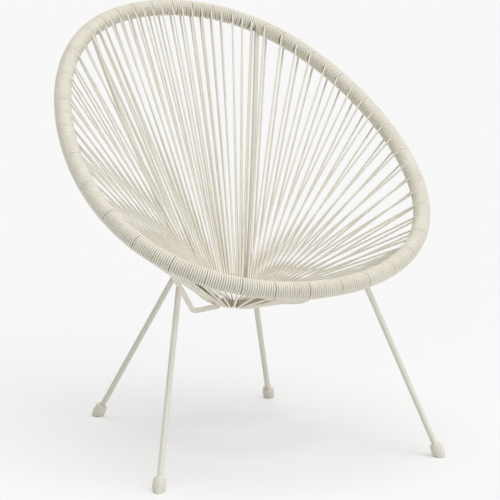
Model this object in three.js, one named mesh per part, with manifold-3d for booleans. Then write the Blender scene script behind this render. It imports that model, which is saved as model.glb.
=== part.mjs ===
// A corded lounge chair: an egg-shaped steel rim, tilted back, carries a seat of cord strands that
// run in to a small centre hoop. Four struts join rim and hoop, and four splayed legs meet the struts.
// Millimetres, +Z up, the front of the chair towards -Y, the origin on the floor under the seat.

import * as THREE from "three";
import { mergeVertices } from "three/addons/utils/BufferGeometryUtils.js";
import Module from "manifold-3d";

// Egg-shaped rim, as a flat closed curve in a plane that leans back
const rim = {
  halfWidth: 333,
  halfLength: 427,
  leanDegrees: 34.2,
  centreY: 21,
  centreZ: 597,
  tubeDiameter: 25,
  tubeSides: 10,
  widthNarrowingShare: -0.242,
  widthShoulderShare: 0.014,
  lengthBluntShare: -0.06,
  lengthPointShare: -0.029,
};

// Small ring of rod that every strand turns round
const hoop = {
  radius: 66,
  centreY: -3,
  centreZ: 288,
  leanDegrees: 13,
  rodDiameter: 13,
  steps: 48,
  sides: 8,
};

// Round cord, and how it is strung between rim and hoop
const cord = {
  diameter: 4.2,
  sides: 5,
  stationsPerQuarter: 18,
  panelsPerQuarter: 3,
  seatClearance: 0.4,
  sleeveSides: 8,
  grooveDepth: 1,
  panelGap: 0.6,
  hoopGapAtStrut: 16,
};

// Four struts, two at the back and two at the front
const strut = {
  diameter: 10,
  sides: 8,
  steps: 18,
  backRimDegrees: 42,
  frontRimDegrees: 140,
  backHoopDegrees: 134,
  frontHoopDegrees: 51,
  backBow: 10,
  lowBendX: 114.7,
  lowBendY: -66.5,
  lowBendZ: 267.5,
  bendLength: 13,
  overhang: 4,
};

// Straight legs, each with its top end cut to sit under its strut
const leg = {
  diameter: 11,
  sides: 12,
  frontFootX: 288.5,
  frontFootY: -309,
  rearFootX: 194.5,
  rearFootY: 239,
  frontPlaceShare: 0.48,
  rearPlaceShare: 0.885,
  endBelowAxis: 3,
  floorClearance: 6,
};

// Moulded barrel-shaped ferrules pushed on the leg ends
const cap = {
  diameter: 24,
  footDiameter: 19.5,
  shoulderDiameter: 22,
  mouthDiameter: 16,
  height: 28,
  bulgeHeight: 14,
  shoulderHeight: 25.5,
  buriedDepth: 12,
  sides: 16,
};

const clearance = 0.3;
const mergeDistance = 0.001;

const colours = { cord: 0xe6dfd0, frame: 0xd5cfc2, cap: 0xcbc5b6 };

const wasm = await Module();
wasm.setup();

const group = new THREE.Group();
const radians = THREE.MathUtils.degToRad;
const up = new THREE.Vector3(0, 0, 1);
const side = new THREE.Vector3(1, 0, 0);

// Mesh tools

function toSolid(geometry) {
  const bare = geometry.clone();
  bare.deleteAttribute("normal");
  bare.deleteAttribute("uv");
  const merged = mergeVertices(bare, mergeDistance);
  return new wasm.Manifold(new wasm.Mesh({
    numProp: 3,
    vertProperties: Float32Array.from(merged.attributes.position.array),
    triVerts: Uint32Array.from(merged.index.array),
  }));
}

function toGeometry(solid) {
  const mesh = solid.getMesh();
  const geometry = new THREE.BufferGeometry();
  geometry.setAttribute("position", new THREE.BufferAttribute(mesh.vertProperties, 3));
  geometry.setIndex(new THREE.BufferAttribute(mesh.triVerts, 1));
  geometry.computeVertexNormals();
  return geometry;
}

function addPiece(name, geometry, colour, roughness, metalness) {
  const material = new THREE.MeshStandardMaterial({ color: colour, roughness, metalness });
  const mesh = new THREE.Mesh(geometry, material);
  mesh.name = name;
  group.add(mesh);
}

// A skin from points and triangles
function skin(points, triangles) {
  const geometry = new THREE.BufferGeometry();
  geometry.setAttribute("position", new THREE.Float32BufferAttribute(points.flatMap((p) => p.toArray()), 3));
  geometry.setIndex(triangles);
  return geometry;
}

// Triangles between neighbouring rings of the same number of points, facing outwards
function ringStrips(first, count, sides, closed) {
  const triangles = [];
  for (let i = 0; i < (closed ? count : count - 1); i += 1) {
    const a = first + i * sides;
    const b = first + ((i + 1) % count) * sides;
    for (let k = 0; k < sides; k += 1) {
      const n = (k + 1) % sides;
      triangles.push(a + k, a + n, b + n, a + k, b + n, b + k);
    }
  }
  return triangles;
}

// Round tube through a list of points, mitred at each of them, its ends closed
function mitredTube(path, radius, sides) {
  const points = [];
  const first = path[1].clone().sub(path[0]).normalize();
  let across = new THREE.Vector3().crossVectors(first, Math.abs(first.z) < 0.9 ? up : side).normalize();
  let before = first;
  path.forEach((point, i) => {
    const after = i < path.length - 1 ? path[i + 1].clone().sub(point).normalize() : before;
    const tangent = before.clone().add(after).normalize();
    across = across.clone().addScaledVector(before, -across.dot(before)).normalize();
    const other = new THREE.Vector3().crossVectors(before, across);
    for (let k = 0; k < sides; k += 1) {
      const turn = (2 * Math.PI * k) / sides;
      const offset = across.clone().multiplyScalar(radius * Math.cos(turn));
      offset.addScaledVector(other, radius * Math.sin(turn));
      offset.addScaledVector(before, -offset.dot(tangent) / before.dot(tangent));
      points.push(point.clone().add(offset));
    }
    across.applyQuaternion(new THREE.Quaternion().setFromUnitVectors(before, after));
    before = after;
  });
  const triangles = ringStrips(0, path.length, sides, false);
  const last = (path.length - 1) * sides;
  for (let k = 1; k < sides - 1; k += 1) {
    triangles.push(0, k + 1, k);
    triangles.push(last, last + k, last + k + 1);
  }
  return skin(points, triangles);
}

// Geometry made along +Y, turned to run along a direction from a point
function placedAlong(geometry, origin, direction) {
  const turn = new THREE.Quaternion().setFromUnitVectors(new THREE.Vector3(0, 1, 0), direction);
  return geometry.applyMatrix4(new THREE.Matrix4().compose(origin, turn, new THREE.Vector3(1, 1, 1)));
}

// Rim curve

const rimLean = radians(rim.leanDegrees);
const rimUp = new THREE.Vector3(0, Math.cos(rimLean), Math.sin(rimLean));
const rimNormal = new THREE.Vector3(0, -Math.sin(rimLean), Math.cos(rimLean));
const rimCentre = new THREE.Vector3(0, rim.centreY, rim.centreZ);

// Angle 0 is the top of the back, and 180 degrees is the middle of the front
function rimPoint(angle) {
  const across = rim.halfWidth * Math.sin(angle)
    * (1 + rim.widthNarrowingShare * Math.cos(angle) + rim.widthShoulderShare * Math.cos(2 * angle));
  const along = rim.halfLength
    * (Math.cos(angle) + rim.lengthBluntShare * Math.cos(2 * angle)
    + rim.lengthPointShare * Math.cos(3 * angle));
  return rimCentre.clone().addScaledVector(side, across).addScaledVector(rimUp, along);
}

const lengthSamples = 1440;
const rimLengths = [0];
for (let i = 1; i <= lengthSamples; i += 1) {
  const step = (2 * Math.PI) / lengthSamples;
  rimLengths.push(rimLengths[i - 1] + rimPoint(i * step).distanceTo(rimPoint((i - 1) * step)));
}

function rimLengthAt(angle) {
  const place = (angle / (2 * Math.PI)) * lengthSamples;
  const low = Math.min(Math.floor(place), lengthSamples - 1);
  return rimLengths[low] + (place - low) * (rimLengths[low + 1] - rimLengths[low]);
}

function rimAngleAt(length) {
  const whole = rimLengths[lengthSamples];
  const wrapped = ((length % whole) + whole) % whole;
  let low = 0;
  while (rimLengths[low + 1] < wrapped) low += 1;
  const part = (wrapped - rimLengths[low]) / (rimLengths[low + 1] - rimLengths[low]);
  return ((low + part) * 2 * Math.PI) / lengthSamples;
}

function rimTangent(angle) {
  const step = (2 * Math.PI) / lengthSamples;
  return rimPoint(angle + step).sub(rimPoint(angle - step)).normalize();
}

function rimRing(length, radius, sides) {
  const angle = rimAngleAt(length);
  const outward = new THREE.Vector3().crossVectors(rimNormal, rimTangent(angle));
  const centre = rimPoint(angle);
  return Array.from({ length: sides }, (_, k) => {
    const turn = (2 * Math.PI * (k + 0.5)) / sides;
    return centre.clone().addScaledVector(outward, radius * Math.cos(turn))
      .addScaledVector(rimNormal, radius * Math.sin(turn));
  });
}

// Centre hoop

const hoopLean = radians(hoop.leanDegrees);
const hoopNormal = new THREE.Vector3(0, -Math.sin(hoopLean), Math.cos(hoopLean));
const hoopBack = new THREE.Vector3(0, Math.cos(hoopLean), Math.sin(hoopLean));
const hoopCentre = new THREE.Vector3(0, hoop.centreY, hoop.centreZ);

function hoopOutward(angle) {
  return side.clone().multiplyScalar(Math.sin(angle)).addScaledVector(hoopBack, Math.cos(angle));
}

function hoopPoint(angle) {
  return hoopCentre.clone().addScaledVector(hoopOutward(angle), hoop.radius);
}

// Directions at a station: out towards the rim in the hoop's own radial plane, and square to it
function hoopSection(hoopAngle, rimAngle) {
  const outward = hoopOutward(hoopAngle);
  const reach = rimPoint(rimAngle).sub(hoopPoint(hoopAngle));
  const slope = Math.atan2(reach.dot(hoopNormal), reach.dot(outward));
  return {
    away: outward.clone().multiplyScalar(Math.cos(slope)).addScaledVector(hoopNormal, Math.sin(slope)),
    above: outward.clone().multiplyScalar(-Math.sin(slope)).addScaledVector(hoopNormal, Math.cos(slope)),
  };
}

// Quarters of the seat between struts, clockwise from the back as seen from above

const quarters = [
  { name: "back", rimFrom: -strut.backRimDegrees, rimTo: strut.backRimDegrees,
    hoopFrom: strut.backHoopDegrees - 180, hoopTo: 180 - strut.backHoopDegrees },
  { name: "right", rimFrom: strut.backRimDegrees, rimTo: strut.frontRimDegrees,
    hoopFrom: 180 - strut.backHoopDegrees, hoopTo: 180 - strut.frontHoopDegrees },
  { name: "front", rimFrom: strut.frontRimDegrees, rimTo: 360 - strut.frontRimDegrees,
    hoopFrom: 180 - strut.frontHoopDegrees, hoopTo: 180 + strut.frontHoopDegrees },
  { name: "left", rimFrom: 360 - strut.frontRimDegrees, rimTo: 360 - strut.backRimDegrees,
    hoopFrom: 180 + strut.frontHoopDegrees, hoopTo: 180 + strut.backHoopDegrees },
];

const wholeRim = rimLengths[lengthSamples];
for (const quarter of quarters) {
  quarter.start = quarter.rimFrom < 0
    ? rimLengthAt(radians(quarter.rimFrom + 360)) - wholeRim : rimLengthAt(radians(quarter.rimFrom));
  quarter.end = rimLengthAt(radians(quarter.rimTo));
  quarter.pitch = (quarter.end - quarter.start) / cord.stationsPerQuarter;
  const gapAngle = cord.hoopGapAtStrut / hoop.radius;
  const hoopStart = radians(quarter.hoopFrom) + gapAngle / 2;
  const hoopPitch = (radians(quarter.hoopTo) - gapAngle / 2 - hoopStart) / (cord.stationsPerQuarter - 1);
  quarter.stations = Array.from({ length: cord.stationsPerQuarter }, (_, i) => {
    const length = quarter.start + (i + 0.5) * quarter.pitch;
    return { length, rimAngle: rimAngleAt(length), hoopAngle: hoopStart + i * hoopPitch };
  });
}

// Steel frame

const frameFinish = [colours.frame, 0.5, 0.1];
const rimRadius = rim.tubeDiameter / 2;
const cordRadius = cord.diameter / 2;

// The rim has a ring at each station and at each joint between cord panels
const stationsPerPanel = cord.stationsPerQuarter / cord.panelsPerQuarter;
const rimRingPlaces = quarters.flatMap((quarter) => quarter.stations.flatMap(({ length }, i) => (
  i % stationsPerPanel === 0 ? [quarter.start + i * quarter.pitch, length] : [length])));

function rimTube(radius) {
  const rings = rimRingPlaces.map((length) => rimRing(length, radius, rim.tubeSides));
  return skin(rings.flat(), ringStrips(0, rings.length, rim.tubeSides, true));
}

addPiece("rim_tube", rimTube(rimRadius), ...frameFinish);

function hoopRing(rodRadius) {
  const ring = new THREE.TorusGeometry(hoop.radius, rodRadius, hoop.sides, hoop.steps);
  ring.rotateX(hoopLean);
  return ring.translate(hoopCentre.x, hoopCentre.y, hoopCentre.z);
}

addPiece("centre_hoop", hoopRing(hoop.rodDiameter / 2), ...frameFinish);

// Where a strut is welded under the hoop, and the direction from there out to the rim
const weldDrop = hoop.rodDiameter / 2 + strut.diameter / 2 + clearance;

function strutSeat(hoopDegrees, rimDegrees) {
  const hoopAngle = radians(180 - hoopDegrees);
  const section = hoopSection(hoopAngle, radians(rimDegrees));
  const seat = hoopPoint(hoopAngle).addScaledVector(section.above, -weldDrop);
  return { seat, ...section };
}

// A quarter-round bend between two straight runs
function bentPath(start, corner, end, bendLength) {
  const into = start.clone().sub(corner).normalize();
  const out = end.clone().sub(corner).normalize();
  const path = new THREE.CurvePath();
  const bendStart = corner.clone().addScaledVector(into, bendLength);
  const bendEnd = corner.clone().addScaledVector(out, bendLength);
  path.add(new THREE.LineCurve3(start, bendStart));
  path.add(new THREE.QuadraticBezierCurve3(bendStart, corner, bendEnd));
  path.add(new THREE.LineCurve3(bendEnd, end));
  return path;
}

const backSeat = strutSeat(strut.backHoopDegrees, strut.backRimDegrees);
const backTop = rimPoint(radians(strut.backRimDegrees));
const backEnd = backSeat.seat.clone().addScaledVector(backSeat.away, -strut.overhang);
const backControl = backTop.clone().add(backEnd).multiplyScalar(0.5)
  .addScaledVector(backSeat.above, -2 * strut.backBow);
const backPath = new THREE.QuadraticBezierCurve3(backTop, backControl, backEnd);

const lowBend = new THREE.Vector3(strut.lowBendX, strut.lowBendY, strut.lowBendZ);
const frontSeat = strutSeat(strut.frontHoopDegrees, strut.frontRimDegrees);
const frontTop = rimPoint(radians(strut.frontRimDegrees));
const frontInward = frontSeat.seat.clone().sub(lowBend).normalize();
const frontEnd = frontSeat.seat.clone().addScaledVector(frontInward, strut.overhang);
const frontPath = bentPath(frontTop, lowBend, frontEnd, strut.bendLength);

function rodShape(diameter, sides) {
  const corners = Array.from({ length: sides }, (_, k) => {
    const turn = (2 * Math.PI * (k + 0.5)) / sides;
    return new THREE.Vector2(Math.cos(turn), Math.sin(turn)).multiplyScalar(diameter / 2);
  });
  return new THREE.Shape(corners);
}

function strutRod(path, diameter) {
  return new THREE.ExtrudeGeometry(rodShape(diameter, strut.sides),
    { steps: strut.steps, extrudePath: path, bevelEnabled: false });
}

const frontArm = new THREE.LineCurve3(frontTop, lowBend);

// Where a leg stands, and where its axis meets the strut's
function legLayout(footX, footY, top) {
  const foot = new THREE.Vector3(footX, footY, 0);
  return { foot, top, axis: top.clone().sub(foot).normalize() };
}

const rearLeg = legLayout(leg.rearFootX, leg.rearFootY, backPath.getPoint(leg.rearPlaceShare));
const frontLeg = legLayout(leg.frontFootX, leg.frontFootY, frontArm.getPoint(leg.frontPlaceShare));

function strutSolid(path) {
  return toSolid(strutRod(path, strut.diameter))
    .subtract(toSolid(rimTube(rimRadius + clearance)))
    .subtract(toSolid(hoopRing(hoop.rodDiameter / 2 + clearance)));
}

function legSolid({ foot, top, axis }, path) {
  const length = top.distanceTo(foot) - leg.endBelowAxis - leg.floorClearance;
  const rod = new THREE.CylinderGeometry(leg.diameter / 2, leg.diameter / 2, length, leg.sides);
  rod.translate(0, leg.floorClearance + length / 2, 0);
  return toSolid(placedAlong(rod, foot, axis))
    .subtract(toSolid(strutRod(path, strut.diameter + 2 * clearance)));
}

// Ferrule turned on the leg's own axis and cut flat on the floor
function capSolid(layout) {
  const bore = leg.diameter / 2 + clearance;
  const floor = leg.floorClearance - clearance;
  const outline = new THREE.CatmullRomCurve3([
    new THREE.Vector3(cap.footDiameter / 2, -cap.buriedDepth, 0),
    new THREE.Vector3(cap.footDiameter / 2, 0, 0),
    new THREE.Vector3(cap.diameter / 2, cap.bulgeHeight, 0),
    new THREE.Vector3(cap.shoulderDiameter / 2, cap.shoulderHeight, 0),
    new THREE.Vector3(cap.mouthDiameter / 2, cap.height, 0),
  ]);
  const outlineSteps = 10;
  const profile = [new THREE.Vector2(0, -cap.buriedDepth)];
  outline.getPoints(outlineSteps).forEach((point) => profile.push(new THREE.Vector2(point.x, point.y)));
  profile.push(new THREE.Vector2(bore, cap.height), new THREE.Vector2(bore, floor), new THREE.Vector2(0, floor));
  const ferrule = placedAlong(new THREE.LatheGeometry(profile, cap.sides), layout.foot, layout.axis);
  const below = new THREE.BoxGeometry(2 * cap.height, 2 * cap.height, cap.height);
  below.translate(layout.foot.x, layout.foot.y, -cap.height / 2);
  return toSolid(ferrule).subtract(toSolid(below));
}

// The other side of the chair is the mirror image
function mirrored(solid) {
  return solid.mirror([1, 0, 0]);
}

const corners = [
  { legName: "front_leg", strutName: "front_strut", layout: frontLeg, path: frontPath },
  { legName: "rear_leg", strutName: "back_strut", layout: rearLeg, path: backPath },
];
for (const [sideName, turned] of [["right", (solid) => solid], ["left", mirrored]]) {
  for (const { legName, strutName, layout, path } of corners) {
    addPiece(`${strutName}_${sideName}`, toGeometry(turned(strutSolid(path))), ...frameFinish);
    addPiece(`${legName}_${sideName}`, toGeometry(turned(legSolid(layout, path))), ...frameFinish);
    addPiece(`${legName}_cap_${sideName}`, toGeometry(turned(capSolid(layout))), colours.cap, 0.6, 0);
  }
}

// Cord panels

// Flats of the many-sided bore clear the tube, and the crests of the wraps stand at the wound diameter
const sleeveFlat = Math.cos(Math.PI / cord.sleeveSides);
const sleeveBore = (rimRadius + clearance) / sleeveFlat;
const sleeveCrest = (rimRadius + cord.diameter) / Math.sqrt(sleeveFlat);
const sleeveGroove = sleeveCrest - cord.grooveDepth;
const strandAtRim = rimRadius + clearance + cordRadius + cord.seatClearance;
const strandAtHoop = hoop.rodDiameter / 2 + cordRadius + cord.seatClearance;
const turnCorner = strandAtHoop / Math.cos(Math.PI / 8);

// Wound sleeve over one stretch of the rim, open at both ends, with a groove at each station
function windingSleeve(start, end, stations) {
  const outer = [rimRing(start, sleeveCrest, cord.sleeveSides)];
  const bore = [rimRing(start, sleeveBore, cord.sleeveSides)];
  stations.forEach(({ length }, i) => {
    outer.push(rimRing(length, sleeveGroove, cord.sleeveSides));
    bore.push(rimRing(length, sleeveBore, cord.sleeveSides));
    if (i < stations.length - 1) {
      outer.push(rimRing((length + stations[i + 1].length) / 2, sleeveCrest, cord.sleeveSides));
    }
  });
  outer.push(rimRing(end, sleeveCrest, cord.sleeveSides));
  bore.push(rimRing(end, sleeveBore, cord.sleeveSides));
  const n = cord.sleeveSides;
  const boreFirst = outer.length * n;
  const triangles = ringStrips(0, outer.length, n, false);
  triangles.push(...ringStrips(boreFirst, bore.length, n, false).reverse());
  const outerLast = boreFirst - n;
  const boreLast = boreFirst + (bore.length - 1) * n;
  for (let k = 0; k < n; k += 1) {
    const m = (k + 1) % n;
    triangles.push(k, boreFirst + m, m, k, boreFirst + k, boreFirst + m);
    triangles.push(outerLast + k, outerLast + m, boreLast + m, outerLast + k, boreLast + m, boreLast + k);
  }
  return toSolid(skin([...outer.flat(), ...bore.flat()], triangles));
}

// One station: a strand in from the top of the rim, round the hoop and back to the underside of the rim
function strandPair({ rimAngle, hoopAngle }) {
  const { away, above } = hoopSection(hoopAngle, rimAngle);
  const centre = rimPoint(rimAngle);
  const turn = hoopPoint(hoopAngle);
  const tangent = rimTangent(rimAngle);
  const inward = turn.clone().sub(centre);
  inward.addScaledVector(tangent, -inward.dot(tangent)).normalize();
  const rimAbove = new THREE.Vector3().crossVectors(tangent, inward);
  if (rimAbove.dot(rimNormal) < 0) rimAbove.negate();
  const backOff = inward.clone().multiplyScalar(-cordRadius);
  const corner = (eighth) => turn.clone()
    .addScaledVector(away, -turnCorner * Math.cos((eighth * Math.PI) / 8))
    .addScaledVector(above, turnCorner * Math.sin((eighth * Math.PI) / 8));
  return mitredTube([
    centre.clone().addScaledVector(rimAbove, strandAtRim).add(backOff),
    corner(3),
    corner(1),
    corner(-1),
    corner(-3),
    centre.clone().addScaledVector(rimAbove, -strandAtRim).add(backOff),
  ], cordRadius, cord.sides);
}

const strutClearances = ["back", "front"].flatMap((place) => {
  const path = place === "back" ? backPath : frontPath;
  const room = toSolid(strutRod(path, strut.diameter + 2 * cord.seatClearance));
  return [room, mirrored(room)];
});

for (const quarter of quarters) {
  for (let panel = 0; panel < cord.panelsPerQuarter; panel += 1) {
    const first = panel * stationsPerPanel;
    const stations = quarter.stations.slice(first, first + stationsPerPanel);
    const start = quarter.start + first * quarter.pitch + cord.panelGap / 2;
    const end = quarter.start + (first + stationsPerPanel) * quarter.pitch - cord.panelGap / 2;
    let solid = windingSleeve(start, end, stations);
    for (const station of stations) solid = solid.add(toSolid(strandPair(station)));
    for (const room of strutClearances) solid = solid.subtract(room);
    addPiece(`cord_${quarter.name}_${panel + 1}`, toGeometry(solid), colours.cord, 0.7, 0);
  }
}

export default group;
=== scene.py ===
import bpy
import math
import random
from mathutils import Matrix, Vector


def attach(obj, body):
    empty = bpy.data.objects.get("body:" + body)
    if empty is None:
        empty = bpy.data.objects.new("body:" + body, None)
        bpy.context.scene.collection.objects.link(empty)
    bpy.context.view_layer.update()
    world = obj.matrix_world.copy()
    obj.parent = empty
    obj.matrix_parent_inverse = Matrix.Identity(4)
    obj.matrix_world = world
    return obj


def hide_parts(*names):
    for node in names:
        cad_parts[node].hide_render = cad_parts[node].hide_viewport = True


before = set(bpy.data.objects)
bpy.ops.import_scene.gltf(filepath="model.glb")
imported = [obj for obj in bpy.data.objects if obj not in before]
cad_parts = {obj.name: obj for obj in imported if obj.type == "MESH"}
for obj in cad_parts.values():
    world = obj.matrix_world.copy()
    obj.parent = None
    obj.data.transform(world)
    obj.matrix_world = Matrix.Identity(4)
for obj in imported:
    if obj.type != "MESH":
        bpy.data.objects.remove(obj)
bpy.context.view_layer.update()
print("stage: frame loaded,", len(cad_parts), "nodes")

mm = 0.001
xAxis = Vector((1, 0, 0))
fullTurn = 2 * math.pi


# small helpers

def deselectAll():
    if bpy.context.object and bpy.context.object.mode != "OBJECT":
        bpy.ops.object.mode_set(mode="OBJECT")
    bpy.ops.object.select_all(action="DESELECT")


def makeActive(piece):
    deselectAll()
    piece.select_set(True)
    bpy.context.view_layer.objects.active = piece


def settle(piece):
    # place, turn and scale go into the mesh
    makeActive(piece)
    bpy.ops.object.transform_apply(location=True, rotation=True, scale=True)


def finishPiece(piece, name, material, nodes):
    piece.name = name
    piece.data.name = name
    piece.data.materials.clear()
    piece.data.materials.append(material)
    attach(piece, "root")
    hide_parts(*nodes)


def linearColour(hexText):
    # sRGB hex to the linear values that shaders take, with full alpha
    parts = [int(hexText[i:i + 2], 16) / 255 for i in (1, 3, 5)]
    linear = [p / 12.92 if p <= 0.04045 else ((p + 0.055) / 1.055) ** 2.4 for p in parts]
    return (*linear, 1)


def addNode(tree, kind, settings=None, links=None):
    # a node with its settings, sockets by name or number, and what feeds it
    node = tree.nodes.new(kind)
    for key, value in (settings or {}).items():
        if isinstance(key, int) or key in node.inputs:
            node.inputs[key].default_value = value
        else:
            setattr(node, key, value)
    for key, source in (links or {}).items():
        tree.links.new(source, node.inputs[key])
    return node


def startMaterial(name):
    material = bpy.data.materials.new(name)
    material.use_nodes = True
    tree = material.node_tree
    tree.nodes.clear()
    shader = addNode(tree, "ShaderNodeBsdfPrincipled")
    addNode(tree, "ShaderNodeOutputMaterial", links={"Surface": shader.outputs[0]})
    return material, tree, shader


# materials

def addSkin(tree, shader, look):
    # fine relief and gloss of a surface, and the place in the piece for a pattern of colour
    place = addNode(tree, "ShaderNodeTexCoord").outputs["Object"]
    grain = addNode(tree, "ShaderNodeTexNoise",
                    {"Scale": 1 / look["grainSize"], "Detail": look["grainDetail"]},
                    {"Vector": place})
    bump = addNode(tree, "ShaderNodeBump", {"Strength": 1.0, "Distance": look["grainDepth"]},
                   {"Height": grain.outputs["Fac"]})
    tree.links.new(bump.outputs[0], shader.inputs["Normal"])
    shader.inputs["Roughness"].default_value = look["roughness"]
    shader.inputs["IOR"].default_value = look["ior"]
    return place


cordLook = {
    "colour": "#EAE6D9",
    "warmColour": "#E4DFD1",
    "patchSize": 38 * mm,
    "patchDetail": 3.0,
    "patchFrom": 0.35,
    "patchTo": 0.65,
    "roughness": 0.42,
    "ior": 1.53,
    "grainSize": 0.9 * mm,
    "grainDetail": 2.0,
    "grainDepth": 0.03 * mm,
}


def makeCordMaterial():
    # extruded PVC cord: satin, faintly mottled from one reel length to the next
    material, tree, shader = startMaterial("extrudedPvcCord")
    place = addSkin(tree, shader, cordLook)
    patch = addNode(tree, "ShaderNodeTexNoise",
                    {"Scale": 1 / cordLook["patchSize"], "Detail": cordLook["patchDetail"]},
                    {"Vector": place})
    spread = addNode(tree, "ShaderNodeMapRange",
                     {"From Min": cordLook["patchFrom"], "From Max": cordLook["patchTo"]},
                     {"Value": patch.outputs["Fac"]})
    mix = addNode(tree, "ShaderNodeMix", {"data_type": "RGBA"}, {"Factor": spread.outputs[0]})
    mix.inputs["A"].default_value = linearColour(cordLook["colour"])
    mix.inputs["B"].default_value = linearColour(cordLook["warmColour"])
    tree.links.new(mix.outputs["Result"], shader.inputs["Base Color"])
    return material


rodLook = {
    "colour": "#E2DED2",
    # a darker tone of the same steel: painted shade for the gaps in the winding and the hoop's
    # shaded face
    "paintedShadeColour": "#A8A18E",
    "roughness": 0.38,
    "ior": 1.5,
    "grainSize": 1.4 * mm,
    "grainDetail": 1.0,
    "grainDepth": 0.04 * mm,
}
capLook = {
    "colour": "#E0DCCF",
    "roughness": 0.55,
    "ior": 1.49,
    "grainSize": 0.5 * mm,
    "grainDetail": 2.0,
    "grainDepth": 0.03 * mm,
}


def makePlainMaterial(name, colour, look):
    material, tree, shader = startMaterial(name)
    addSkin(tree, shader, look)
    shader.inputs["Base Color"].default_value = linearColour(colour)
    return material


cordMaterial = makeCordMaterial()
# powder-coated steel: satin, with a fine orange-peel skin
rodMaterial = makePlainMaterial("powderCoatedSteel", rodLook["colour"], rodLook)
# the same steel where cord hides it, darkened as painted shade for the shadowed notches, grooves
# and hoop face
paintedShadeRodMaterial = makePlainMaterial("steelWithPaintedShade", rodLook["paintedShadeColour"], rodLook)
# moulded polypropylene: matt, with a fine spark-eroded grain
capMaterial = makePlainMaterial("mouldedPolypropylene", capLook["colour"], capLook)
print("stage: materials made")


# rim curve, the same egg as the frame's

rim = {
    "halfWidth": 333 * mm,
    "halfLength": 427 * mm,
    "lean": math.radians(34.2),
    "centre": Vector((0, 21, 597)) * mm,
    "tubeRadius": 12.5 * mm,
    # shares that turn an ellipse into the egg
    "narrowing": -0.242,
    "shoulder": 0.014,
    "blunt": -0.06,
    "point": -0.029,
    "samples": 1440,
}
rimUp = Vector((0, math.cos(rim["lean"]), math.sin(rim["lean"])))
rimNormal = Vector((0, -math.sin(rim["lean"]), math.cos(rim["lean"])))


def rimPoint(angle):
    widening = 1 + rim["narrowing"] * math.cos(angle) + rim["shoulder"] * math.cos(2 * angle)
    across = rim["halfWidth"] * math.sin(angle) * widening
    along = rim["halfLength"] * (math.cos(angle) + rim["blunt"] * math.cos(2 * angle)
                                 + rim["point"] * math.cos(3 * angle))
    return rim["centre"] + xAxis * across + rimUp * along


rimStep = fullTurn / rim["samples"]
rimLengths = [0.0]
for i in range(1, rim["samples"] + 1):
    chord = rimPoint(i * rimStep) - rimPoint((i - 1) * rimStep)
    rimLengths.append(rimLengths[-1] + chord.length)
wholeRim = rimLengths[-1]


def rimLengthAt(angle):
    place = angle / fullTurn * rim["samples"]
    low = min(int(place), rim["samples"] - 1)
    return rimLengths[low] + (place - low) * (rimLengths[low + 1] - rimLengths[low])


def rimAngleAt(length):
    wrapped = length % wholeRim
    low, high = 0, rim["samples"]
    while high - low > 1:
        middle = (low + high) // 2
        if rimLengths[middle] <= wrapped:
            low = middle
        else:
            high = middle
    part = (wrapped - rimLengths[low]) / (rimLengths[low + 1] - rimLengths[low])
    return (low + part) * fullTurn / rim["samples"]


def rimFrame(length):
    # centre of the tube, direction along it, and direction out of the chair in the rim's plane
    angle = rimAngleAt(length)
    tangent = (rimPoint(angle + rimStep) - rimPoint(angle - rimStep)).normalized()
    return rimPoint(angle), tangent, rimNormal.cross(tangent)


# centre hoop

hoop = {
    "radius": 66 * mm,
    "centre": Vector((0, -3, 288)) * mm,
    "lean": math.radians(13),
    "rodRadius": 6.5 * mm,
}
hoopNormal = Vector((0, -math.sin(hoop["lean"]), math.cos(hoop["lean"])))
hoopBack = Vector((0, math.cos(hoop["lean"]), math.sin(hoop["lean"])))


def hoopOutward(angle):
    # angle 0 is the back of the hoop, and it grows towards +X
    return xAxis * math.sin(angle) + hoopBack * math.cos(angle)


def hoopPoint(angle):
    return hoop["centre"] + hoopOutward(angle) * hoop["radius"]


def hoopSection(hoopAngle, rimAt):
    # away from the hoop towards a point of the rim, and square to that, in a radial plane
    outward = hoopOutward(hoopAngle)
    reach = rimAt - hoopPoint(hoopAngle)
    slope = math.atan2(reach.dot(hoopNormal), reach.dot(outward))
    away = outward * math.cos(slope) + hoopNormal * math.sin(slope)
    above = hoopNormal * math.cos(slope) - outward * math.sin(slope)
    return away, above


# cord: wound round the rim, with a strand in to the hoop and back at every station

cord = {
    "radius": 1.93 * mm,
    "skinGap": 0.1 * mm,
    "stations": 18,
    "pitch": 4.2 * mm,
    "stationGap": 0.55 * mm,
    "gapShares": (0.4, 1.6),
    "innerSide": math.pi + 0.9,
    "pinch": 1.4 * mm,
    "pinchTurns": 4,
    "pinchPower": 2,
    "pinchSide": math.pi + 0.6,
    "lean": 0.9 * mm,
    "pointsPerTurn": 20,
    "hoopGapAtStrut": 14.2 * mm,
    "loopPoints": 9,
    "strandShares": (0.012, 0.25, 0.5, 0.75, 0.988),
    "leastSteps": 3,
    "backRim": math.radians(42),
    "frontRim": math.radians(140),
    "backHoop": math.radians(46),
    "frontHoop": math.radians(129),
    "strutHalf": 7.4 * mm,
    "squeezeReach": 60 * mm,
    "squeezePower": 1.5,
    "waver": 0.12 * mm,
    "sideSegments": 3,
    "seed": 7,
}
windRadius = rim["tubeRadius"] + cord["radius"] + cord["skinGap"]
loopRadius = hoop["rodRadius"] + cord["radius"] + cord["skinGap"]

# name, then where the quarter starts and ends on the rim and on the hoop
quarters = [
    ("back", -cord["backRim"], cord["backRim"], -cord["backHoop"], cord["backHoop"]),
    ("right", cord["backRim"], cord["frontRim"], cord["backHoop"], cord["frontHoop"]),
    ("front", cord["frontRim"], fullTurn - cord["frontRim"],
     cord["frontHoop"], fullTurn - cord["frontHoop"]),
    ("left", fullTurn - cord["frontRim"], fullTurn - cord["backRim"],
     fullTurn - cord["frontHoop"], fullTurn - cord["backHoop"]),
]
strutLengths = [rimLengthAt(angle) for angle in (
    cord["backRim"], cord["frontRim"], fullTurn - cord["frontRim"], fullTurn - cord["backRim"])]


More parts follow.
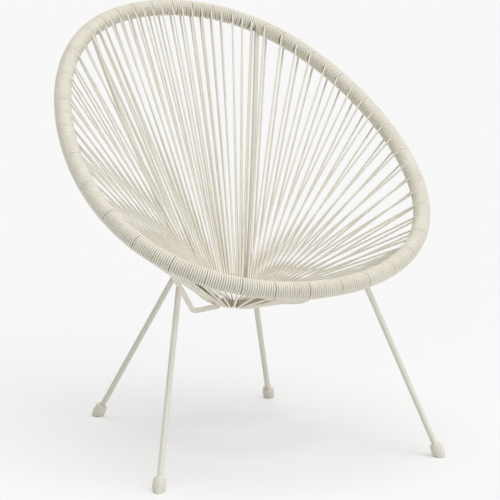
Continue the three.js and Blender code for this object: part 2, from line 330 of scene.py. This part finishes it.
def rimOffset(length, strutAt):
    # how far along the rim from a strut, the short way round
    return (length - strutAt + wholeRim / 2) % wholeRim - wholeRim / 2


def windPoint(length, turn):
    # a point of the winding; near a strut the inner side of each turn is pushed clear of it
    nearest = min(strutLengths, key=lambda strutAt: abs(rimOffset(length, strutAt)))
    offset = rimOffset(length, nearest)
    reach = cord["squeezeReach"]
    if abs(offset) < reach:
        facing = max(0.0, math.cos(turn - cord["innerSide"])) ** cord["squeezePower"]
        push = cord["strutHalf"] * facing
        length = nearest + math.copysign(push + abs(offset) * (reach - push) / reach, offset)
    centre, tangent, outward = rimFrame(length)
    return centre + (outward * math.cos(turn) + rimNormal * math.sin(turn)) * windRadius


def hoopLoop(hoopAngle, away, above, drift):
    # half a turn round the hoop's rod, from above it to below it
    loop = []
    for j in range(cord["loopPoints"]):
        share = j / (cord["loopPoints"] - 1)
        around = math.pi * (0.5 + share)
        place = hoopPoint(hoopAngle + (share - 0.5) * drift / hoop["radius"])
        loop.append(place + (away * math.cos(around) + above * math.sin(around)) * loopRadius)
    return loop


def quarterPath(rimFrom, rimTo, hoopFrom, hoopTo, rng):
    # one length of cord: turns round the rim, and at each station a trip to the hoop,
    # over its rod and back below it
    start = rimLengthAt(rimFrom) if rimFrom >= 0 else rimLengthAt(rimFrom + fullTurn) - wholeRim
    length = rimLengthAt(rimTo) - start
    stations = cord["stations"]
    woundLength = length - stations * cord["stationGap"]
    turns = round(woundLength / cord["pitch"])
    pitch = woundLength / turns
    gapAngle = cord["hoopGapAtStrut"] / hoop["radius"]
    hoopStep = (hoopTo - hoopFrom - gapAngle) / (stations - 1)
    count = cord["pointsPerTurn"]
    leaves = {round((i + 0.5) / stations * turns - 0.5): i for i in range(stations)}
    # every other station gap is wide enough to read as a dark line
    gaps = [cord["stationGap"] * cord["gapShares"][i % 2] for i in range(stations)]
    passed = 0
    points = []

    def onRim(turnsDone, turn, shift=0.0):
        # the pull of the strands leans every turn a little
        leant = shift - cord["lean"] * math.sin(turn)
        return windPoint(start + turnsDone * pitch + sum(gaps[:passed]) + leant, turn)

    for k in range(turns):
        wobble = rng.uniform(-1, 1) * cord["waver"]
        if k not in leaves:
            # turns close up behind the place where a strand has left
            nearby = min((k - other for other in leaves), key=abs)
            closing = max(0.0, 1 - (abs(nearby) - 1) / cord["pinchTurns"])
            pull = math.copysign(cord["pinch"] * closing, nearby)
            for j in range(count):
                share = j / count
                turn = fullTurn * share
                behind = max(0.0, math.cos(turn - cord["pinchSide"])) ** cord["pinchPower"]
                shift = wobble * math.sin(share * math.pi) - pull * behind
                points.append(onRim(k + share, turn, shift))
            continue
        hoopAngle = hoopFrom + gapAngle / 2 + leaves[k] * hoopStep
        middle = start + (k + 0.5) * pitch + sum(gaps[:passed]) + gaps[passed] / 2
        centre, tangent, outward = rimFrame(middle)
        away, above = hoopSection(hoopAngle, centre)
        toHoop = hoopPoint(hoopAngle) - centre
        flat = toHoop - tangent * toHoop.dot(tangent)
        dip = math.atan2(-flat.dot(rimNormal), -flat.dot(outward))
        ease = math.asin((windRadius - loopRadius) / flat.length)
        leaveTurn = math.pi / 2 + dip + ease
        arriveTurn = 3 * math.pi / 2 + dip - ease
        steps = max(cord["leastSteps"], round(count * leaveTurn / fullTurn))
        for j in range(steps + 1):
            turn = leaveTurn * j / steps
            points.append(onRim(k + turn / fullTurn, turn))
        leave = points[-1]
        passed += 1
        loop = hoopLoop(hoopAngle, away, above, pitch / 2)
        arrive = onRim(k + arriveTurn / fullTurn, arriveTurn)
        points += [leave.lerp(loop[0], share) for share in cord["strandShares"]]
        points += loop
        points += [loop[-1].lerp(arrive, share) for share in cord["strandShares"]]
        steps = max(cord["leastSteps"], round(count * (fullTurn - arriveTurn) / fullTurn))
        for j in range(steps):
            turn = arriveTurn + (fullTurn - arriveTurn) * j / steps
            points.append(onRim(k + turn / fullTurn, turn))
    points.append(windPoint(start + length, 0))
    return points


def cordPiece(name, points):
    # the path as a curve with a round bevel, then as a mesh
    curve = bpy.data.curves.new(name, "CURVE")
    curve.dimensions = "3D"
    curve.bevel_depth = cord["radius"]
    curve.bevel_resolution = cord["sideSegments"]
    curve.use_fill_caps = True
    spline = curve.splines.new("POLY")
    spline.points.add(len(points) - 1)
    for target, point in zip(spline.points, points):
        target.co = (*point, 1)
    piece = bpy.data.objects.new(name, curve)
    bpy.context.scene.collection.objects.link(piece)
    makeActive(piece)
    bpy.ops.object.convert(target="MESH")
    bpy.ops.object.shade_smooth()
    return bpy.context.object


rng = random.Random(cord["seed"])
for name, rimFrom, rimTo, hoopFrom, hoopTo in quarters:
    path = quarterPath(rimFrom, rimTo, hoopFrom, hoopTo, rng)
    total = sum((b - a).length for a, b in zip(path, path[1:]))
    piece = cordPiece("cord_" + name, path)
    panels = ["cord_%s_%d" % (name, n) for n in (1, 2, 3)]
    finishPiece(piece, "cord_" + name, cordMaterial, panels)
    print("stage: cord", name, "length %.1f m" % total, len(piece.data.polygons), "faces")


# steel rods, under powder coat: hoop, struts and legs

rod = {
    "strutRadius": 5 * mm,
    "legRadius": 5.5 * mm,
    "sides": 24,
    "bendLength": 13 * mm,
    "bendSteps": 12,
    "bowSteps": 20,
    "bow": 10 * mm,
    "lowBend": Vector((114.7, -66.5, 267.5)) * mm,
    "weldDrop": 11.8 * mm,
    "overhang": 4 * mm,
    "rimReach": 11.5 * mm,
    "hoopSteps": 96,
    "mergeDistance": 0.01 * mm,
    "smoothAngle": math.radians(40),
}
leg = {
    "frontFoot": Vector((288.5, -309, 0)) * mm,
    "rearFoot": Vector((194.5, 239, 0)) * mm,
    "frontPlace": 0.48,
    "rearPlace": 0.885,
    "endBelowAxis": 3 * mm,
    "floorClearance": 6 * mm,
    "sections": 2,
}

# how the frame names what the pieces here replace
nodeNames = {
    ("strut", "front"): "front_strut", ("strut", "back"): "back_strut",
    ("leg", "front"): "front_leg", ("leg", "rear"): "rear_leg",
    ("cap", "front"): "front_leg_cap", ("cap", "rear"): "rear_leg_cap",
}


def startDisc(at, facing, radius, sides=rod["sides"], fill="NGON"):
    # the section that a rod or a ferrule is drawn out of, open for editing
    deselectAll()
    turned = facing.to_track_quat("Z", "Y").to_euler()
    bpy.ops.mesh.primitive_circle_add(vertices=sides, radius=radius, fill_type=fill,
                                      location=at, rotation=turned)
    bpy.ops.object.mode_set(mode="EDIT")
    bpy.ops.mesh.select_all(action="SELECT")
    return bpy.context.object


def pushOut(step):
    bpy.ops.mesh.extrude_region_move(TRANSFORM_OT_translate={"value": step})


def closeUp(piece, smoothAngle=rod["smoothAngle"]):
    # doubles merged, faces turned outwards, round parts smooth
    if bpy.context.object.mode != "EDIT":
        makeActive(piece)
        bpy.ops.object.mode_set(mode="EDIT")
    bpy.ops.mesh.select_all(action="SELECT")
    bpy.ops.mesh.remove_doubles(threshold=rod["mergeDistance"])
    bpy.ops.mesh.normals_make_consistent(inside=False)
    settle(piece)
    bpy.ops.object.shade_smooth_by_angle(angle=smoothAngle)
    return piece


def mirrorCopy(piece):
    # the left side of the chair, with a mesh of its own
    makeActive(piece)
    bpy.ops.object.duplicate(linked=False)
    copy = bpy.context.object
    copy.scale = (-1, 1, 1)
    settle(copy)
    bpy.ops.object.mode_set(mode="EDIT")
    return closeUp(copy)


def makePair(piece, part, place, material):
    copy = mirrorCopy(piece)
    for side, one in (("right", piece), ("left", copy)):
        replaced = nodeNames[part, place] + "_" + side
        finishPiece(one, part + "_" + place + "_" + side, material, [replaced])


def makeHoop():
    # one bar rolled into a ring
    ring = startDisc(hoopPoint(0), hoopOutward(math.pi / 2), hoop["rodRadius"], fill="NOTHING")
    bpy.ops.mesh.spin(steps=rod["hoopSteps"], angle=fullTurn,
                      center=hoop["centre"], axis=hoopNormal)
    closeUp(ring)
    # the hoop's darker colour is painted shade, for its face lying in the seat's shadow
    finishPiece(ring, "hoop_ring", paintedShadeRodMaterial, ["centre_hoop"])


def strutSeat(hoopAngle, rimAngle):
    # where a strut is welded under the hoop, and the way out to the rim there
    away, above = hoopSection(hoopAngle, rimPoint(rimAngle))
    return hoopPoint(hoopAngle) - above * rod["weldDrop"], away, above


def makeFrontStrut():
    # straight down from the rim, round the low bend, and straight in to the hoop
    top = rimPoint(cord["frontRim"])
    corner = rod["lowBend"]
    seat = strutSeat(cord["frontHoop"], cord["frontRim"])[0]
    down = (corner - top).normalized()
    inward = (seat - corner).normalized()
    bendAngle = down.angle(inward)
    bendRadius = rod["bendLength"] / math.tan(bendAngle / 2)
    axis = down.cross(inward).normalized()
    bendStart = corner - down * rod["bendLength"]
    centre = bendStart + axis.cross(down) * bendRadius
    start = top + down * rod["rimReach"]
    strut = startDisc(start, down, rod["strutRadius"])
    pushOut(bendStart - start)
    bpy.ops.mesh.spin(steps=rod["bendSteps"], angle=-bendAngle, center=centre, axis=axis)
    bendEnd = corner + inward * rod["bendLength"]
    pushOut(seat + inward * rod["overhang"] - bendEnd)
    return closeUp(strut)


def makeBackStrut():
    # a long shallow bow, returned with the point on it that the rear leg meets
    top = rimPoint(cord["backRim"])
    seat, away, above = strutSeat(cord["backHoop"], cord["backRim"])
    end = seat - away * rod["overhang"]
    chord = end - top
    bowRadius = (chord.length_squared / 4 + rod["bow"] ** 2) / (2 * rod["bow"])
    middle = top.lerp(end, 0.5)
    along = chord.normalized()
    sag = (above - along * above.dot(along)).normalized()
    centre = middle + sag * (bowRadius - rod["bow"])
    arm = top - centre
    axis = arm.cross(end - centre).normalized()
    whole = arm.angle(end - centre)
    skipped = rod["rimReach"] / bowRadius
    start = Matrix.Rotation(skipped, 3, axis) @ arm + centre
    facing = axis.cross(start - centre).normalized()
    strut = startDisc(start, facing, rod["strutRadius"])
    bpy.ops.mesh.spin(steps=rod["bowSteps"], angle=skipped - whole, center=centre, axis=axis)
    joint = Matrix.Rotation(whole * leg["rearPlace"], 3, axis) @ arm + centre
    return closeUp(strut), joint


def makeLeg(foot, joint):
    # straight from just under the strut's axis down into the cap
    axis = (foot - joint).normalized()
    start = joint + axis * leg["endBelowAxis"]
    end = foot - axis * leg["floorClearance"]
    piece = startDisc(start, axis, rod["legRadius"])
    for i in range(leg["sections"]):
        pushOut((end - start) / leg["sections"])
    return closeUp(piece)


makeHoop()
makePair(makeFrontStrut(), "strut", "front", rodMaterial)
backStrut, rearJoint = makeBackStrut()
makePair(backStrut, "strut", "back", rodMaterial)
frontJoint = rimPoint(cord["frontRim"]).lerp(rod["lowBend"], leg["frontPlace"])
makePair(makeLeg(leg["frontFoot"], frontJoint), "leg", "front", rodMaterial)
makePair(makeLeg(leg["rearFoot"], rearJoint), "leg", "rear", rodMaterial)
print("stage: hoop, struts and legs made")


# ferrules on the leg ends

cap = {
    # radius and height of each ring, in mm
    "profile": [(9.6, -12), (9.6, 0), (10.4, 3), (11.3, 7), (11.9, 11), (12.0, 15), (11.8, 19),
                (11.3, 23), (10.8, 25.5), (10.2, 26.9), (9.3, 27.7), (8.2, 28)],
    "boreGap": 0.5 * mm,
    "boreDepth": 2 * mm,
    "footRound": 2.6 * mm,
    "footSegments": 4,
    "sides": 40,
    "smoothAngle": math.radians(50),
}


def makeCap(foot, joint):
    # a barrel drawn up ring by ring on the leg's axis, then cut flat on the floor
    axis = (joint - foot).normalized()
    (radius, height), *rest = cap["profile"]
    piece = startDisc(foot + axis * height * mm, axis, radius * mm, sides=cap["sides"])
    bore = (rod["legRadius"] + cap["boreGap"]) / mm
    for nextRadius, nextHeight in rest + [(bore, rest[-1][1])]:
        pushOut(axis * (nextHeight - height) * mm)
        bpy.ops.transform.resize(value=[nextRadius / radius] * 3,
                                 center_override=foot + axis * nextHeight * mm)
        radius, height = nextRadius, nextHeight
    pushOut(-axis * cap["boreDepth"])
    bpy.ops.mesh.select_all(action="SELECT")
    bpy.ops.mesh.bisect(plane_co=(0, 0, 0), plane_no=(0, 0, 1), use_fill=True, clear_inner=True)
    # the cut face is still selected, so its rim is what gets rounded
    bpy.ops.mesh.bevel(offset=cap["footRound"], segments=cap["footSegments"], affect="EDGES")
    return closeUp(piece, cap["smoothAngle"])


makePair(makeCap(leg["frontFoot"], frontJoint), "cap", "front", capMaterial)
makePair(makeCap(leg["rearFoot"], rearJoint), "cap", "rear", capMaterial)
print("stage: caps made")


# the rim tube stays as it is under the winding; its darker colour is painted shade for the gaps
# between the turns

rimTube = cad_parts["rim_tube"]
rimTube.data.materials.clear()
rimTube.data.materials.append(paintedShadeRodMaterial)


# camera

cameraFit = {
    "azimuth": math.radians(-24.923),
    "elevation": math.radians(9.19),
    "distance": 3.955,
    "aim": Vector((0, 0, 0.42)),
    "focalPixels": 2047.8,
    "framePixels": 500,
    "centreX": 233.99,
    "centreY": 222.66,
    "roll": math.radians(0.289),
    "reach": 100,
}


def placeCamera():
    data = bpy.data.cameras.new("camera")
    camera = bpy.data.objects.new("camera", data)
    bpy.context.scene.collection.objects.link(camera)
    azimuth, elevation, roll = (cameraFit[key] for key in ("azimuth", "elevation", "roll"))
    level = math.cos(elevation)
    back = Vector((math.sin(azimuth) * level, -math.cos(azimuth) * level, math.sin(elevation)))
    right = Vector((math.cos(azimuth), math.sin(azimuth), 0))
    up = back.cross(right)
    turnedRight = right * math.cos(roll) + up * math.sin(roll)
    turnedUp = up * math.cos(roll) - right * math.sin(roll)
    spin = Matrix((turnedRight, turnedUp, back)).transposed().to_4x4()
    camera.matrix_world = Matrix.Translation(cameraFit["aim"] + back * cameraFit["distance"]) @ spin
    frameSize = cameraFit["framePixels"]
    data.lens = cameraFit["focalPixels"] / frameSize * data.sensor_width
    data.shift_x = (frameSize / 2 - cameraFit["centreX"]) / frameSize
    data.shift_y = (cameraFit["centreY"] - frameSize / 2) / frameSize
    data.clip_end = cameraFit["reach"]
    bpy.context.scene.camera = camera


placeCamera()
print("stage: camera placed")


# floor, sky and lamps

studio = {
    "floorColour": "#F6F6F6",
    "shadowShare": 0.65,
    "skyStrength": 0.15,
    "floorSize": 80,
    # name, strength, where it comes from, and how wide it is
    "suns": [
        ("key", 1.1, Vector((0.4, -1.0, 1.0)), math.radians(60)),
        ("fill", 0.25, Vector((-0.7, -1.0, 1.0)), math.radians(40)),
        ("side", 0.35, Vector((1.0, -0.35, 0.9)), math.radians(75)),
        ("rim", 0.35, Vector((-0.1, 1.0, 1.2)), math.radians(70)),
        ("overhead", 1.35, Vector((0, 0, 1)), math.radians(35)),
    ],
}


def seenRays(tree):
    # 1 for the camera and for what shows in gloss or through glass
    rays = addNode(tree, "ShaderNodeLightPath")
    direct = addNode(tree, "ShaderNodeMath", {"operation": "MAXIMUM"},
                     {0: rays.outputs["Is Camera Ray"], 1: rays.outputs["Is Glossy Ray"]})
    both = addNode(tree, "ShaderNodeMath", {"operation": "MAXIMUM"},
                   {0: direct.outputs[0], 1: rays.outputs["Is Transmission Ray"]})
    return both.outputs[0]


def makeFloor():
    bpy.ops.mesh.primitive_plane_add(size=studio["floorSize"])
    floor = bpy.context.object
    floor.name = "floor"
    material, tree, shader = startMaterial("paleStudioFloor")
    colour = linearColour(studio["floorColour"])
    # a third of what the camera sees is a steady glow, so that shadows stay as faint
    # as in the picture
    glow = addNode(tree, "ShaderNodeEmission", {"Color": colour})
    lit = addNode(tree, "ShaderNodeBsdfDiffuse", {"Color": colour})
    shown = addNode(tree, "ShaderNodeMixShader", {0: studio["shadowShare"]},
                    {1: glow.outputs[0], 2: lit.outputs[0]})
    shader.inputs["Base Color"].default_value = colour
    shader.inputs["Roughness"].default_value = 1.0
    shader.inputs["Specular IOR Level"].default_value = 0.0
    mix = addNode(tree, "ShaderNodeMixShader",
                  links={0: seenRays(tree), 1: shader.outputs[0], 2: shown.outputs[0]})
    output = next(node for node in tree.nodes if node.type == "OUTPUT_MATERIAL")
    tree.links.new(mix.outputs[0], output.inputs["Surface"])
    floor.data.materials.append(material)


def makeSky():
    world = bpy.data.worlds.new("studioSky")
    bpy.context.scene.world = world
    world.use_nodes = True
    tree = world.node_tree
    tree.nodes.clear()
    glow = addNode(tree, "ShaderNodeBackground",
                   {"Color": (1, 1, 1, 1), "Strength": studio["skyStrength"]})
    shown = addNode(tree, "ShaderNodeBackground", {"Color": linearColour(studio["floorColour"])})
    mix = addNode(tree, "ShaderNodeMixShader",
                  links={0: seenRays(tree), 1: glow.outputs[0], 2: shown.outputs[0]})
    addNode(tree, "ShaderNodeOutputWorld", links={"Surface": mix.outputs[0]})


def addSun(name, strength, comesFrom, softness):
    data = bpy.data.lights.new(name, "SUN")
    data.energy = strength
    data.angle = softness
    lamp = bpy.data.objects.new(name, data)
    bpy.context.scene.collection.objects.link(lamp)
    lamp.rotation_euler = comesFrom.to_track_quat("Z", "Y").to_euler()


makeFloor()
makeSky()
for sunSettings in studio["suns"]:
    addSun(*sunSettings)

bpy.context.scene.view_settings.view_transform = "Standard"
print("stage: floor, sky and lamps made")
